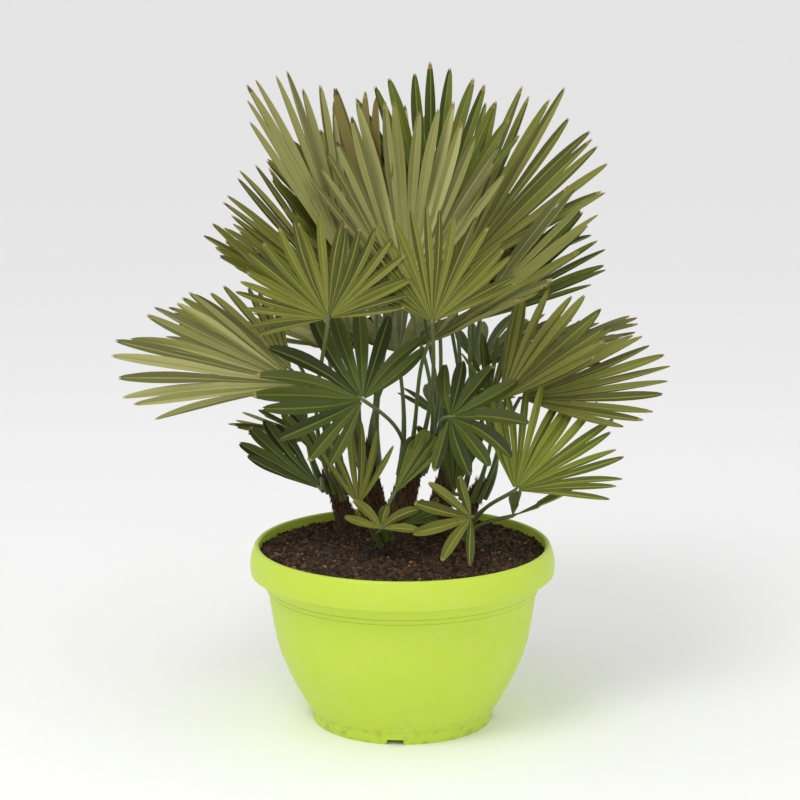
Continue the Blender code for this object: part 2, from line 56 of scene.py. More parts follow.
# Each frond: its stem, its hub, where it aims and faces (yaw, pitch), its reach,
# leaflets, spread, joined share, cup and sag, and its kind of green
Frond = namedtuple("Frond", "stem hub aim face reach leaflets spread joined cup sag green")
viewer = (-90, 15)
# Fronds of the dark kind sit low, under the others, and their dark green is painted shade
frontFronds = [Frond(*row) for row in (
    ("stem_left", (-0.068, -0.085, 0.41), (115, 66), (-90, 30), 0.104, 22, 200, 0.34, 0.14, 0.02, "fresh"),
    ("stem_main", (0.027, -0.095, 0.408), (95, 66), (-95, 26), 0.116, 19, 150, 0.34, 0.14, 0.02, "fresh"),
    ("stem_left", (-0.097, -0.03, 0.338), (184, 16), (-80, 35), 0.188, 11, 60, 0.42, 0.05, 0.06, "scurfy"),
    ("stem_left", (-0.108, 0.03, 0.341), (160, 30), (-60, 45), 0.136, 13, 95, 0.36, 0.05, 0.04, "olive"),
    ("stem_right", (0.113, 0.0, 0.319), (4, 14), (-100, 50), 0.152, 13, 90, 0.38, 0.06, -0.03, "olive"),
    ("stem_right", (0.093, -0.03, 0.323), (30, 44), (-105, 30), 0.138, 9, 70, 0.36, 0.04, 0.02, "olive"),
    ("sucker_right", (0.106, -0.06, 0.242), (35, 42), (-100, 28), 0.122, 17, 125, 0.36, 0.06, -0.03,
     "bright"),
    ("stem_main", (0.025, -0.075, 0.384), (12, 28), (170, 70), 0.142, 13, 120, 0.4, 0.05, 0.03, "olive"),
    ("stem_main", (0.005, 0.0, 0.415), (92, 80), viewer, 0.205, 16, 82, 0.4, 0.03, 0.02, "scurfy"),
    ("stem_main", (0.027, 0.06, 0.46), (88, 84), viewer, 0.185, 13, 80, 0.4, 0.03, 0.02, "deep"),
    ("stem_left", (-0.049, -0.005, 0.44), (150, 65), (-38, 20), 0.224, 9, 48, 0.4, 0.02, 0.0, "scurfy"),
    ("stem_main", (-0.024, 0.03, 0.44), (120, 74), (-150, 10), 0.182, 9, 80, 0.4, 0.03, 0.0, "rusty"),
    ("stem_back_left", (-0.057, 0.07, 0.404), (158, 50), (-85, 30), 0.172, 11, 50, 0.38, 0.04, 0.02, "olive"),
    ("stem_back_right", (0.052, 0.06, 0.431), (40, 47), (-95, 20), 0.236, 14, 60, 0.4, 0.03, 0.02, "olive"),
    ("stem_right", (0.066, 0.01, 0.388), (26, 50), (-140, 25), 0.182, 10, 70, 0.38, 0.05, 0.02, "olive"),
    ("stem_back_right", (0.077, 0.08, 0.383), (22, 37), (-100, 30), 0.164, 11, 56, 0.38, 0.04, 0.02, "deep"),
    ("stem_main", (-0.037, -0.07, 0.331), (165, 35), (-85, 40), 0.112, 13, 225, 0.3, 0.04, 0.04, "dark"),
    ("stem_main", (0.044, -0.065, 0.314), (-10, 6), (-100, 40), 0.078, 9, 230, 0.3, 0.04, 0.08, "dark"),
    ("stem_left", (-0.078, -0.03, 0.236), (160, 35), (-60, 30), 0.104, 5, 50, 0.5, 0.03, 0.02, "dark"),
    ("stem_left", (-0.07, -0.01, 0.25), (135, 66), (-70, 25), 0.09, 5, 60, 0.45, 0.03, 0.02, "dark"),
    ("stem_right", (0.085, 0.02, 0.313), (95, 70), viewer, 0.072, 7, 60, 0.3, 0.03, 0.02, "deep"),
    ("stem_main", (-0.006, 0.008, 0.236), (96, 80), viewer, 0.108, 6, 56, 0.5, 0.03, 0.02, "dark"),
    ("stem_right", (0.05, 0.012, 0.222), (84, 76), viewer, 0.098, 6, 60, 0.5, 0.03, 0.02, "dark"),
    ("sucker_front", (-0.042, -0.05, 0.225), (95, 72), viewer, 0.086, 6, 80, 0.24, 0.03, 0.02, "fresh"),
    ("sucker_front", (-0.009, -0.055, 0.236), (50, 42), viewer, 0.08, 4, 34, 0.82, 0.02, 0.0, "deep"),
    ("sucker_front", (-0.002, -0.04, 0.203), (20, 20), (-90, 50), 0.05, 4, 50, 0.7, 0.02, 0.0, "dark"),
    ("sucker_front", (-0.02, -0.06, 0.207), (80, 50), (-90, 30), 0.046, 5, 200, 0.24, 0.04, 0.05, "fresh"),
    ("sucker_right", (0.065, -0.06, 0.216), (190, 0), (-90, 40), 0.062, 6, 190, 0.24, 0.04, 0.12, "fresh"),
    ("sucker_right", (0.106, -0.045, 0.207), (20, 18), (200, 72), 0.102, 11, 220, 0.3, 0.05, 0.03, "fresh"),
)]

# Rings of fronds round the back
Ring = namedtuple("Ring", "count height distance pitch reach")
rings = {
    "rows": [
        Ring(3, 0.270, 0.080, 14, 0.104),
        Ring(6, 0.330, 0.112, 20, 0.138),
        Ring(6, 0.388, 0.080, 40, 0.150),
        Ring(4, 0.430, 0.040, 62, 0.180),
    ],
    "goldenAngle": 137.508,
    "firstTurn": 216.0,
    "share": 0.56,
    "middle": (0.000, 0.085),
    "stagger": 0.012,
    "stems": ("stem_back_left", "stem_back_right", "stem_left", "stem_right"),
    "leaflets": 12,
    "spread": 125,
    "joined": 0.38,
    "cup": 0.05,
    "sag": 0.04,
    "greens": ("olive", "deep", "scurfy", "fresh", "olive"),
}

# What may have been tried to find each frond its place
tries = {
    "depths": (0.0, 0.008, -0.008, 0.016, -0.016, 0.026, -0.026),
    "turns": (0, 28, -28, 56, -56, 84, -84, 120, -120, 160),
    "heights": (0.70, 0.82, 0.58, 0.92, 0.46, 0.34),
    "reaches": (0.72, 0.85, 1.0),
    "lifts": (0.0, 0.06, -0.06, 0.12, -0.12, 0.20, -0.20),
    "shorter": (1.0, 0.86, 0.72, 0.58),
    "near": 0.002,
    "rootCorners": 4,  # at the root end of a petiole
}

# How stems, petioles and blades grow, as in their solids
growth = {
    "soilEdge": 0.1675,
    "soilCrown": 0.0035,
    "soilRadius": 0.139,
    "stemGap": 0.0006,
    "bend": 1.3,
    "flare": 0.28,
    "flareLength": 0.010,
    "shorterAtSides": 0.28,
    "lengthVaries": 0.10,
    "ringVaries": 0.10,
    "liftVaries": 0.09,
    "sway": 0.35,
    "cupAtSides": 2,
    "sagPower": 2.2,
    "petioleRadius": 0.0030,
    "petioleGap": 0.0003,
    "petioleSunk": 0.006,
    "rootLength": 0.05,
    "leaveLean": 0.12,
    "leaveReach": 0.38,
    "arriveStraight": 0.75,
    "arriveReach": 0.30,
    "seed": 7000,
}


def soilHeight(x, y):
    across = min(math.hypot(x, y) / growth["soilRadius"], 1.0)
    return growth["soilEdge"] + growth["soilCrown"] * math.cos(math.pi / 2 * across)


def stemPoint(stem, share):
    footZ = soilHeight(stem.footX, stem.footY) + growth["stemGap"]
    foot = Vector((stem.footX, stem.footY, footZ))
    top = Vector((stem.topX, stem.topY, stem.topZ))
    bend = share ** growth["bend"]
    return foot + (top - foot) * Vector((bend, bend, share))


def stemRadius(stem, share):
    height = (stem.topZ - growth["soilEdge"]) * share
    flare = 1 + growth["flare"] * math.exp(-height / growth["flareLength"])
    return (stem.footRadius + (stem.topRadius - stem.footRadius) * share) * flare


def direction(yaw, pitch):
    yaw, pitch = math.radians(yaw), math.radians(pitch)
    return Vector((math.cos(yaw) * math.cos(pitch), math.sin(yaw) * math.cos(pitch), math.sin(pitch)))


class Blade:
    # Where each leaflet of one frond runs; its random draws keep their order
    def __init__(self, frond, number):
        self.frond = frond
        self.hub = Vector(frond.hub)
        self.aim = direction(*frond.aim)
        face = direction(*frond.face)
        self.face = (face - self.aim * face.dot(self.aim)).normalized()
        self.side = self.face.cross(self.aim)
        self.step = math.radians(frond.spread) / frond.leaflets
        draw = random.Random(growth["seed"] + number)
        self.rings = [
            frond.joined * frond.reach * self.shorter(k - 0.5)
            * (1 + growth["ringVaries"] * draw.uniform(-1, 1))
            for k in range(frond.leaflets + 1)
        ]
        self.lengths = [
            frond.reach * self.shorter(k) * (1 - growth["lengthVaries"] * draw.random())
            for k in range(frond.leaflets)
        ]
        self.sways = [growth["sway"] * self.step * draw.uniform(-1, 1) for k in range(frond.leaflets)]
        self.lifts = [growth["liftVaries"] * draw.uniform(-1, 1) for k in range(frond.leaflets)]

    def angle(self, k):
        return (k - (self.frond.leaflets - 1) / 2) * self.step

    def shorter(self, k):
        share = self.angle(k) / math.radians(self.frond.spread / 2)
        return 1 - growth["shorterAtSides"] * share * share

    def place(self, angle, distance, lift=0.0, start=0.0):
        frond = self.frond
        way = self.aim * math.cos(angle) + self.side * math.sin(angle)
        way += self.face * frond.cup * (1 - math.cos(angle)) * growth["cupAtSides"]
        point = self.hub + way.normalized() * distance
        point += self.face * lift * max(distance - start, 0.0)
        point.z -= frond.sag * frond.reach * (distance / frond.reach) ** growth["sagPower"]
        return point

    def start(self, k):
        return (self.rings[k] + self.rings[k + 1]) / 2

    def spine(self, k, distance, lift):
        start, length = self.start(k), self.lengths[k]
        sway = self.sways[k] * max(distance - start, 0.0) / (length - start)
        return self.place(self.angle(k) + sway, distance, lift + self.lifts[k], start)


def ringFronds():
    fronds = []
    turn = rings["firstTurn"]
    for ring in rings["rows"]:
        for k in range(ring.count):
            turn += rings["goldenAngle"]
            yaw = 90 + ((turn % 360) - 180) * rings["share"]
            way = Vector((math.cos(math.radians(yaw)), math.sin(math.radians(yaw))))
            hub = (
                round(rings["middle"][0] + ring.distance * way.x, 4),
                round(rings["middle"][1] + ring.distance * way.y, 4),
                ring.height + rings["stagger"] * (k % 3 - 1),
            )
            nearest = min(rings["stems"], key=lambda s: math.dist((stems[s].topX, stems[s].topY), hub[:2]))
            green = rings["greens"][len(fronds) % len(rings["greens"])]
            fronds.append(Frond(
                nearest, hub, (yaw, ring.pitch), (yaw + 180, 90 - ring.pitch), ring.reach, rings["leaflets"],
                rings["spread"], rings["joined"], rings["cup"], rings["sag"], green,
            ))
    return fronds


def alongCurve(first, leave, arrive, last, t):
    # A point of a cubic curve, from its two ends and the two points that it leans to
    back = 1 - t
    return first * back**3 + leave * 3 * t * back**2 + arrive * 3 * t * t * back + last * t**3


def petiolePath(stem, blade, root, count):
    # From beside the stem up along it, then over to the hub
    share, turn, reach = root
    middle = stemPoint(stem, share)
    out = (blade.hub - middle) * Vector((1, 1, 0))
    out.normalize()
    out.rotate(Matrix.Rotation(math.radians(turn), 3, "Z"))
    beside = stemRadius(stem, share) + growth["petioleRadius"] * reach + growth["petioleGap"]
    first = middle + out * beside
    span = (blade.hub - first).length
    near = growth["rootLength"]
    rise = (stemPoint(stem, share + near) - stemPoint(stem, share - near)).normalized()
    leave = first + (rise + out * growth["leaveLean"]) * span * growth["leaveReach"]
    straight = (blade.hub - leave).normalized() * growth["arriveStraight"]
    arriving = (straight + blade.aim * (1 - growth["arriveStraight"])).normalized()
    arrive = blade.hub - arriving * span * growth["arriveReach"]
    shares = [j / (count - 1) for j in range(count)]
    return [alongCurve(first, leave, arrive, blade.hub, t) for t in shares]


def cornersOf(node):
    spots = {tuple(round(c, 6) for c in v.co) for v in node.data.vertices}
    tree = KDTree(len(spots))
    for i, spot in enumerate(sorted(spots)):
        tree.insert(spot, i)
    tree.balance()
    return tree


Seat = namedtuple("Seat", "number frond blade root leaflets")


def seated(number, frond, node):
    # The blade, root and leaflets that the frame's node was made with
    corners = cornersOf(node)
    x, y, z = frond.hub
    blades = [Blade(frond._replace(hub=(x, y + depth, z)), number) for depth in tries["depths"]]
    blade = min(blades, key=lambda b: corners.find(b.place(b.angle(-0.5), b.rings[0]))[2])

    def offBy(root):
        first = petiolePath(stems[frond.stem], blade, root, 2)[0]
        near = [found[0] for found in corners.find_n(first, tries["rootCorners"])]
        return (sum(near, Vector()) / len(near) - first).length

    root = min(product(tries["heights"], tries["turns"], tries["reaches"]), key=offBy)
    leaflets = []
    for k, length in enumerate(blade.lengths):
        options = [(length * s, lift) for s in tries["shorter"] for lift in tries["lifts"]]
        best = min(options, key=lambda o: corners.find(blade.spine(k, *o))[2])
        if corners.find(blade.spine(k, *best))[2] < tries["near"]:
            leaflets.append((k, *best))
    return Seat(number, frond, blade, root, leaflets)


# Looks


def paint(colour):
    return (*colour, 1.0)


class Wire:
    # One socket, so that sums of sockets read as sums
    def __init__(self, look, socket):
        self.look = look
        self.socket = socket

    def maths(self, operation, *values):
        return self.look.node("Math", {"operation": operation}, dict(enumerate(values)))

    def __add__(self, other):
        return self.maths("ADD", self, other)

    __radd__ = __add__

    def __sub__(self, other):
        return self.maths("SUBTRACT", self, other)

    def __rsub__(self, other):
        return self.maths("SUBTRACT", other, self)

    def __mul__(self, other):
        return self.maths("MULTIPLY", self, other)

    __rmul__ = __mul__


class Look:
    # A material on the Principled shader, with its nodes joined by short calls
    def __init__(self, name, colour, roughness, constants=None):
        self.material = bpy.data.materials.new(name)
        self.material.use_nodes = True
        self.tree = self.material.node_tree
        self.shader = self.tree.nodes["Principled BSDF"]
        self.give({"Base Color": paint(colour), "Roughness": roughness})
        self.give(constants or {})

    def node(self, kind, settings=None, sockets=None, out=0):
        node = self.tree.nodes.new("ShaderNode" + kind)
        for name, value in (settings or {}).items():
            if name == "stops":
                for stop, (place, colour) in zip(node.color_ramp.elements, value):
                    stop.position, stop.color = place, colour
            else:
                setattr(node, name, value)
        for name, value in (sockets or {}).items():
            self.plug(node.inputs[name], value)
        return Wire(self, node.outputs[out])

    def plug(self, socket, value):
        if isinstance(value, Wire):
            self.tree.links.new(value.socket, socket)
        else:
            socket.default_value = value

    def give(self, sockets):
        for name, value in sockets.items():
            self.plug(self.shader.inputs[name], value)

    def place(self):
        return self.node("TexCoord", out=3)  # the object's own coordinates

    def noise(self, scale, detail=3.0):
        return self.node("TexNoise", None, {"Vector": self.place(), "Scale": scale, "Detail": detail})

    def ramp(self, value, low, high):
        # 0 below low, 1 above high
        stops = [(low, (0, 0, 0, 1)), (high, (1, 1, 1, 1))]
        return self.node("ValToRGB", {"stops": stops}, {"Fac": value})

    def patches(self, scale, detail, low, high):
        return self.ramp(self.noise(scale, detail), low, high)

    def blend(self, share, first, second):
        sockets = {0: share, 6: first, 7: second}  # by number, as names repeat on this node
        return self.node("Mix", {"data_type": "RGBA"}, sockets, out=2)

    def bump(self, height, distance):
        return self.node("Bump", None, {"Height": height, "Distance": distance})


# Pieces


def addObject(name, data):
    thing = bpy.data.objects.new(name, data)
    bpy.context.scene.collection.objects.link(thing)
    return thing


def newPiece(name, corners, faces, looks, marks=None, smooth=40):
    mesh = bpy.data.meshes.new(name)
    mesh.from_pydata(corners, [], faces)
    return dress(name, mesh, looks, marks, smooth)


def dress(name, mesh, looks, marks=None, smooth=40):
    mesh.name = name
    mesh.materials.clear()
    for look in looks:
        mesh.materials.append(look.material)
    if marks:
        mesh.polygons.foreach_set("material_index", marks)
    mesh.shade_smooth()
    mesh.set_sharp_from_angle(angle=math.radians(smooth))
    mesh.update()
    return addObject(name, mesh)


def plainMesh(thing):
    # The object's mesh with its modifiers applied; the object goes
    graph = bpy.context.evaluated_depsgraph_get()
    mesh = bpy.data.meshes.new_from_object(thing.evaluated_get(graph))
    bpy.data.objects.remove(thing)
    return mesh


def keep(piece, slot, *nodes):
    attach(piece, "root")
    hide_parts(*nodes)


# Leaflets: folded straps, paler below and along the rib, with dry tips

leaf = {
    "joinedRows": (0.10, 0.40, 0.72, 0.90),
    "freeRows": (0.0, 0.08, 0.18, 0.30, 0.42, 0.54, 0.66, 0.77, 0.86, 0.93, 0.97, 1.0),
    "widths": (
        (0.0, 1.00), (0.18, 1.24), (0.42, 1.48), (0.62, 1.46), (0.80, 1.16), (0.93, 0.72), (1.0, 0.22),
    ),
    "rib": 0.13,
    "palmFold": 0.60,
    "fold": 0.62,
    "foldGrows": 4,
    "foldFades": 0.5,
    "ahead": 0.001,
    "thickness": 0.0005,
    "notch": 0.035,
    "twist": 0.45,
    "stray": 0.0040,
    "dryTips": 0.45,
    "dryFrom": 0.965,
    "dryParts": (5, 5, 6),  # two of three tips are yellow, the others brown
    # Which looks the two halves of a leaflet take, dealt at random: a darker half is painted shade for the
    # side of the fold away from the light
    "shades": ((0, 0), (0, 2), (2, 0), (1, 0), (0, 1), (1, 1), (2, 2), (1, 2)),
    # How much darker the deep look is than the first shade: painted shade
    "paintedShade": 0.56,
    "roughness": 0.55,
    "tipRoughness": 0.7,
    "sheen": 0.30,
    "smooth": 24,
}
# A face's look goes by its number: these, then the two kinds of tip. The shade, light and deep looks are lit
# and shaded copies of one green: painted light and shade.
leafParts = ("shade", "light", "deep", "rib", "underside")
ribPart = leafParts.index("rib")
underPart = leafParts.index("underside")
# Each kind: two shades above, the rib, the underside; the third shade is deeper, a darkened copy of the first
# as painted shade. The two shades above are partly tone that differs by leaflet, partly painted light and
# shade.
greens = {
    "scurfy": ((0.262, 0.268, 0.080), (0.390, 0.385, 0.150), (0.337, 0.326, 0.094), (0.255, 0.246, 0.083)),
    "olive": ((0.168, 0.186, 0.028), (0.219, 0.223, 0.041), (0.296, 0.298, 0.061), (0.204, 0.200, 0.055)),
    "fresh": ((0.133, 0.153, 0.017), (0.173, 0.186, 0.025), (0.275, 0.279, 0.050), (0.178, 0.177, 0.041)),
    "deep": ((0.097, 0.130, 0.012), (0.133, 0.163, 0.019), (0.214, 0.233, 0.039), (0.143, 0.153, 0.033)),
    # The dark kind goes to the low fronds that stand in shade: its dark green is painted shade
    "dark": ((0.053, 0.074, 0.008), (0.076, 0.100, 0.011), (0.153, 0.172, 0.025), (0.092, 0.102, 0.019)),
    "bright": ((0.184, 0.228, 0.022), (0.235, 0.270, 0.033), (0.337, 0.353, 0.066), (0.219, 0.233, 0.052)),
    "rusty": ((0.194, 0.153, 0.039), (0.230, 0.191, 0.052), (0.255, 0.223, 0.061), (0.184, 0.149, 0.047)),
}
tips = {"yellow": (0.330, 0.260, 0.075), "brown": (0.150, 0.095, 0.045)}


def widthAt(t):
    pairs = leaf["widths"]
    for (a, low), (b, high) in zip(pairs, pairs[1:]):
        if t <= b:
            return low + (high - low) * (t - a) / (b - a)
    return pairs[-1][1]


def rowOf(t, left, middle, right):
    # Left edge, rib side, rib, rib side and right edge
    rib = leaf["rib"]
    return (t, left, middle.lerp(left, rib), middle, middle.lerp(right, rib), right)


def leafletRows(blade, k, length, lift, draw):
    rows = []
    start = blade.start(k)
    half = start * math.sin(blade.step / 2)
    for u in leaf["joinedRows"]:
        left = blade.place(blade.angle(k - 0.5), u * blade.rings[k])
        right = blade.place(blade.angle(k + 0.5), u * blade.rings[k + 1])
        middle = blade.place(blade.angle(k), u * start)
        middle -= blade.face * half * u * leaf["palmFold"]
        rows.append(rowOf(0.0, left, middle, right))
    twist = leaf["twist"] * draw.uniform(-1, 1)
    aside = leaf["stray"] * draw.uniform(-1, 1)
    droop = leaf["stray"] * draw.uniform(-1, 1)
    for t in leaf["freeRows"]:
        distance = start + (length - start) * t
        middle = blade.spine(k, distance, lift)
        along = (blade.spine(k, distance + leaf["ahead"], lift) - middle).normalized()
        flat = blade.face.cross(along).normalized()
        raised = along.cross(flat)
        middle += (flat * aside + raised * droop) * t * t
        turn = twist * t
        across = flat * math.cos(turn) + raised * math.sin(turn)
        up = raised * math.cos(turn) - flat * math.sin(turn)
        wide = half * widthAt(t)
        grown = min(t * leaf["foldGrows"], 1.0)
        more = (leaf["fold"] - leaf["palmFold"]) * grown * (1 - leaf["foldFades"] * t)
        rise = up * wide * (leaf["palmFold"] + more) * 0.5
        low, high = middle - rise, middle + rise
        if t == 1.0:
            low -= along * leaf["notch"] * length
        rows.append(rowOf(t, high - across * wide, low, high + across * wide))
    return rows


def addLeaflet(rows, down, shade, tip, build):
    # The strap's closed skin, with five corners above and three below in each row
    corners, faces, marks = build
    first = len(corners)
    perRow = 8
    for row in rows:
        above = row[1:]
        corners += above
        corners += [above[j] + down for j in (0, 2, 4)]
    for i in range(len(rows) - 1):
        a, b = first + i * perRow, first + (i + 1) * perRow
        dry = tip if tip and rows[i + 1][0] > leaf["dryFrom"] else None
        # The halves on either side of the rib take the two shades of the pair: painted light and shade on the
        # fold
        for j, part in enumerate((shade[0], ribPart, ribPart, shade[1])):
            faces.append((a + j, a + j + 1, b + j + 1, b + j))
            marks.append(dry or part)
        for j in (5, 6):
            faces.append((a + j + 1, a + j, b + j, b + j + 1))
            marks.append(dry or underPart)
        faces.append((a + 5, a, b, b + 5))
        faces.append((a + 4, a + 7, b + 7, b + 4))
        marks += [dry or underPart] * 2
    for a, turn in ((first, 1), (first + (len(rows) - 1) * perRow, -1)):
        faces.append((a, a + 5, a + 6, a + 2, a + 1)[::turn])
        faces.append((a + 2, a + 6, a + 7, a + 4, a + 3)[::turn])
        marks += [tip or underPart] * 2


def leafLooks(green, shades):
    # The deep look darkens the first shade: painted shade between and under leaflets
    paintedShade = tuple(channel * leaf["paintedShade"] for channel in shades[0])
    sheen = {"Specular IOR Level": leaf["sheen"]}
    looks = [
        Look(f"{green} leaf {part}", colour, leaf["roughness"], sheen)
        for part, colour in zip(leafParts, (*shades[:2], paintedShade, *shades[2:]))
    ]
    for name, colour in tips.items():
        looks.append(Look(f"{green} leaf {name} tip", colour, leaf["tipRoughness"]))
    return looks


def makeFronds(seats):
    # One piece for each kind of green
    for green, shades in greens.items():
        members = [seat for seat in seats if seat.frond.green == green]
        build = ([], [], [])
        for seat in members:
            draw = random.Random(seat.number)
            for leaflet in seat.leaflets:
                rows = leafletRows(seat.blade, *leaflet, draw)
                tip = draw.choice(leaf["dryParts"]) if draw.random() < leaf["dryTips"] else None
                shade = draw.choice(leaf["shades"])
                addLeaflet(rows, seat.blade.face * -leaf["thickness"], shade, tip, build)
        corners, faces, marks = build
        looks = leafLooks(green, shades)
        piece = newPiece(f"{green}_leaves", corners, faces, looks, marks, smooth=leaf["smooth"])
        keep(piece, "frond", *(nodeName(seat.number) for seat in members))
        print(green, "leaves", len(members), "fronds", len(faces), "faces")


# Petioles: smooth bars from the stems to the hubs

petiole = {
    "points": 16,
    "baseRadius": 0.0036,
    "hubRadius": 0.0019,
    "taperPoints": 6,
    "taperPower": 0.7,
    "endShare": 0.4,
    "resolution": 3,
    "colour": (0.105, 0.135, 0.030),
    "roughness": 0.5,
    "smooth": 50,
}


def barMesh(points, radii):
    curve = bpy.data.curves.new("bar", "CURVE")
    curve.dimensions = "3D"
    curve.bevel_depth = 1.0
    curve.bevel_resolution = petiole["resolution"]
    curve.use_fill_caps = True
    spline = curve.splines.new("POLY")
    spline.points.add(len(points) - 1)
    for knot, point, radius in zip(spline.points, points, radii):
        knot.co = (*point, 1.0)
        knot.radius = radius
    return plainMesh(addObject("bar", curve))


def joined(meshes):
    shape = bmesh.new()
    for mesh in meshes:
        shape.from_mesh(mesh)
        bpy.data.meshes.remove(mesh)
    bmesh.ops.remove_doubles(shape, verts=shape.verts, dist=0.000001)
    whole = bpy.data.meshes.new("joined")
    shape.to_mesh(whole)
    shape.free()
    return whole


def makePetioles(seats):
    bars = []
    base, end = petiole["baseRadius"], petiole["hubRadius"]
    for seat in seats:
        path = petiolePath(stems[seat.frond.stem], seat.blade, seat.root, petiole["points"])
        path.append(seat.blade.hub + seat.blade.aim * growth["petioleSunk"])
        tapers = [min(j / petiole["taperPoints"], 1.0) ** petiole["taperPower"] for j in range(len(path))]
        radii = [base + (end - base) * taper for taper in tapers]
        radii[-1] = end * petiole["endShare"]
        bars.append(barMesh(path, radii))
    look = Look("green petiole", petiole["colour"], petiole["roughness"])
    piece = dress("petioles", joined(bars), [look], smooth=petiole["smooth"])
    keep(piece, "frond", *(nodeName(seat.number) for seat in seats))
    print("petioles", len(bars))


# Stems, with their old leaf bases

stemLook = {
    "sides": 40,
    "rings": 36,
    "scale": 0.16,
    "rows": 9.0,
    "spiral": 2.5,
    "bark": (0.050, 0.029, 0.014),
    "rust": (0.120, 0.056, 0.020),
    "roughness": 0.9,
    "patches": (60.0, 3.0, 0.42, 0.62),  # noise scale and detail, then where patches start and are full
    "strands": (400.0, 2.0),
    "strandHeight": 0.0012,
    "smooth": 60,
}


def makeStems():
    corners, faces = [], []
    sides, count = stemLook["sides"], stemLook["rings"]
    for number, stem in enumerate(stems.values()):
        first = len(corners)
        for i in range(count):
            share = i / (count - 1)
            middle = stemPoint(stem, share)
            radius = stemRadius(stem, share)
            for j in range(sides):
                turn = 2 * math.pi * j / sides
                scale = (stemLook["rows"] * share + stemLook["spiral"] * turn / math.pi + number) % 1.0
                out = radius * (1 - stemLook["scale"] * scale)
                corners.append(middle + Vector((math.cos(turn), math.sin(turn), 0)) * out)
        for i in range(count - 1):
            for j in range(sides):
                a, b = first + i * sides + j, first + i * sides + (j + 1) % sides
                faces.append((a, b, b + sides, a + sides))
        faces.append(tuple(range(first, first + sides))[::-1])
        faces.append(tuple(range(len(corners) - sides, len(corners))))
    look = Look("fibrous stem", stemLook["bark"], stemLook["roughness"])
    patch = look.patches(*stemLook["patches"])
    strand = look.noise(*stemLook["strands"])
    look.give({
        "Base Color": look.blend(patch, paint(stemLook["bark"]), paint(stemLook["rust"])),
        "Normal": look.bump(strand, stemLook["strandHeight"]),
    })
    piece = newPiece("stems", corners, faces, [look], smooth=stemLook["smooth"])
    keep(piece, "stem", *stems)
    print("stems", len(stems))
    return piece


# Soil, with crumbs and chips strewn over it by geometry nodes

soil = {
    "radius": 0.1385,
    "under": 0.155,
    "sunk": 0.0005,
    "across": 90,
    "around": 180,
    "firstRing": 0.02,
    "clods": 90,
    "clodFractal": (1.0, 2.0, 4),  # how fast finer clods fade, how much finer, and how often
    "clodHeight": 0.0022,
    "dark": (0.026, 0.014, 0.006),
    "brown": (0.090, 0.047, 0.018),
    "roughness": 0.95,
    "patches": (160.0, 5.0, 0.40, 0.66),  # as on the stems
    "grain": (900.0, 4.0),
    "grainHeight": 0.0015,
    "crumbSmooth": 30,
}
crumbTurns = ((0.0, 0.0, 0.0), (6.28, 6.28, 6.28))
crumbs = {
    "dark crumbs": {
        "count": 3600.0, "seed": 3, "colour": (0.028, 0.015, 0.007),
        "small": (0.0008, 0.0008, 0.0006), "large": (0.0042, 0.0036, 0.0026),
    },
    "brown crumbs": {
        "count": 2200.0, "seed": 5, "colour": (0.105, 0.052, 0.019),
        "small": (0.0007, 0.0007, 0.0005), "large": (0.0036, 0.0030, 0.0020),
    },
    "red chips": {
        "count": 420.0, "seed": 7, "colour": (0.190, 0.068, 0.020),
        "small": (0.0008, 0.0006, 0.0004), "large": (0.0048, 0.0028, 0.0012),
    },
    "tan crumbs": {
        "count": 420.0, "seed": 9, "colour": (0.360, 0.215, 0.095),
        "small": (0.0005, 0.0005, 0.0004), "large": (0.0026, 0.0020, 0.0012),
    },
    "pale fibres": {
        "count": 130.0, "seed": 11, "colour": (0.300, 0.190, 0.095),
        "small": (0.0002, 0.0002, 0.0040), "large": (0.0004, 0.0004, 0.0150),
        "turns": ((1.35, 0.0, 0.0), (1.75, 0.1, 6.28)),
    },
}
barkFibres = {
    "rust fibres": {
        "count": 1500.0, "seed": 13, "colour": (0.185, 0.080, 0.026),
        "small": (0.0002, 0.0002, 0.0030), "large": (0.0006, 0.0006, 0.0095),
        "turns": ((-0.30, -0.30, 0.0), (0.30, 0.30, 6.28)),
    },
    "brown fibres": {
        "count": 1500.0, "seed": 17, "colour": (0.060, 0.032, 0.015),
        "small": (0.0002, 0.0002, 0.0030), "large": (0.0008, 0.0008, 0.0085),
        "turns": ((-0.30, -0.30, 0.0), (0.30, 0.30, 6.28)),
    },
}


def makeSoil():
    corners, faces = [], []
    across, around = soil["across"], soil["around"]

    def addBand(first):
        # Quads from one ring of corners to the next
        for j in range(around):
            a, b = first + j, first + (j + 1) % around
            faces.append((a, a + around, b + around, b))

    for i in range(across + 1):
        for j in range(around):
            turn = 2 * math.pi * j / around
            out = soil["radius"] * max(i, soil["firstRing"]) / across
            x, y = out * math.cos(turn), out * math.sin(turn)
            clod = noise.fractal(Vector((x, y, 0)) * soil["clods"], *soil["clodFractal"]) * soil["clodHeight"]
            corners.append((x, y, soilHeight(x, y) + clod - soil["sunk"]))
    for i in range(across):
        addBand(i * around)
    faces.append(tuple(range(around)))
    rim = across * around
    corners += [(x, y, soil["under"]) for x, y, z in corners[rim:]]
    addBand(rim)
    faces.append(tuple(range(rim + around, rim + 2 * around))[::-1])
    look = Look("potting soil", soil["dark"], soil["roughness"])
    patch = look.patches(*soil["patches"])
    look.give({
        "Base Color": look.blend(patch, paint(soil["dark"]), paint(soil["brown"])),
        "Normal": look.bump(look.noise(*soil["grain"]), soil["grainHeight"]),
    })
    piece = newPiece("soil_surface", corners, faces, [look], smooth=180)
    keep(piece, "soil", "soil")
    print("soil")
    return piece


